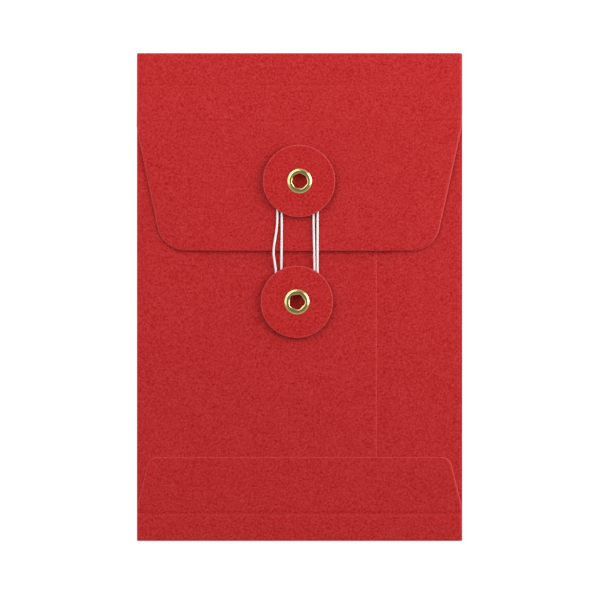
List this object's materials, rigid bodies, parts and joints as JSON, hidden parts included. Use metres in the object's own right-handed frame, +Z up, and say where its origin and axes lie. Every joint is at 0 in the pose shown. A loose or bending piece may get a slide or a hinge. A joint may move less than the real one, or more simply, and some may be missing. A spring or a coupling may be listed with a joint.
{
  "type": "string tie envelope",
  "caption": "Gusseted red card envelope with a tapered flap, closed by a cotton string wound round riveted card discs; folding flap, side gussets and base.",
  "frame": {"origin": "centre of the closed envelope's outline, on the table under its front panel", "axes": "+X to the right across the back, +Y from the bottom fold to the flap fold, +Z up out of the tie side"},
  "size_m": [0.114, 0.171, 0.0051],
  "materials": {
    "red_card": "matt",
    "disc_card": "matt",
    "brass_eyelet": "polished",
    "paper_glue": "satin",
    "cotton_string": "matt"
  },
  "bodies": {
    "front": {"front_panel": "red_card"},
    "front_base": {"front_base_strip": "red_card"},
    "gusset_left_front": {"gusset_left_front": "red_card"},
    "gusset_left_back": {"gusset_left_back": "red_card"},
    "gusset_right_front": {"gusset_right_front": "red_card"},
    "gusset_right_back": {"gusset_right_back": "red_card"},
    "back": {"back_panel_left": "red_card", "back_panel_right": "red_card", "seam_glue": "paper_glue", "closing_flap": "red_card", "closing_flap_glue": "paper_glue", "lower_eyelet": "brass_eyelet", "tie_string": "cotton_string"},
    "back_base": {"back_base_strip": "red_card"},
    "flap": {"flap_panel": "red_card", "upper_eyelet": "brass_eyelet"},
    "upper_disc": {"upper_disc": "disc_card"},
    "lower_disc": {"lower_disc": "disc_card"}
  },
  "joints": [
    {"name": "flap_fold", "type": "hinge", "parent": "front", "child": "flap", "pos_m": [0, 0.0855, 0.00095], "axis": [-1, 0, 0], "range_deg": [0, 170], "deforming": ["tie_string"]},
    {"name": "gusset_left_front_fold", "type": "hinge", "parent": "front", "child": "gusset_left_front", "pos_m": [-0.057, 0, 0.00035], "axis": [0, -1, 0], "range_deg": [0, 90]},
    {"name": "gusset_left_middle_fold", "type": "hinge", "parent": "gusset_left_front", "child": "gusset_left_back", "pos_m": [-0.0474, 0, 0.0008], "axis": [0, 1, 0], "range_deg": [0, 180]},
    {"name": "back_fold", "type": "hinge", "parent": "gusset_left_back", "child": "back", "pos_m": [-0.057, 0, 0.00125], "axis": [0, -1, 0], "range_deg": [0, 90]},
    {"name": "gusset_right_front_fold", "type": "hinge", "parent": "front", "child": "gusset_right_front", "pos_m": [0.057, 0, 0.00035], "axis": [0, 1, 0], "range_deg": [0, 90]},
    {"name": "gusset_right_middle_fold", "type": "hinge", "parent": "gusset_right_front", "child": "gusset_right_back", "pos_m": [0.0474, 0, 0.0008], "axis": [0, -1, 0], "range_deg": [0, 180]},
    {"name": "front_base_crease", "type": "hinge", "parent": "front", "child": "front_base", "pos_m": [0, -0.0759, 0.00035], "axis": [-1, 0, 0], "range_deg": [0, 90]},
    {"name": "back_base_crease", "type": "hinge", "parent": "back", "child": "back_base", "pos_m": [0, -0.0759, 0.00155], "axis": [1, 0, 0], "range_deg": [0, 90]},
    {"name": "upper_disc_spin", "type": "hinge", "parent": "flap", "child": "upper_disc", "pos_m": [-0.0002, 0.0406, 0.00433], "axis": [0, 0, 1], "continuous": true},
    {"name": "lower_disc_spin", "type": "hinge", "parent": "back", "child": "lower_disc", "pos_m": [-0.00095, -0.0017, 0.00308], "axis": [0, 0, 1], "continuous": true}
  ],
  "couplings": [
    {"joint": "gusset_left_front_fold", "follows": "flap_fold", "ratio": 0.5294},
    {"joint": "gusset_left_middle_fold", "follows": "flap_fold", "ratio": 1.0588},
    {"joint": "back_fold", "follows": "flap_fold", "ratio": 0.5294},
    {"joint": "gusset_right_front_fold", "follows": "flap_fold", "ratio": 0.5294},
    {"joint": "gusset_right_middle_fold", "follows": "flap_fold", "ratio": 1.0588},
    {"joint": "front_base_crease", "follows": "flap_fold", "ratio": 0.5294},
    {"joint": "back_base_crease", "follows": "flap_fold", "ratio": 0.5294}
  ]
}
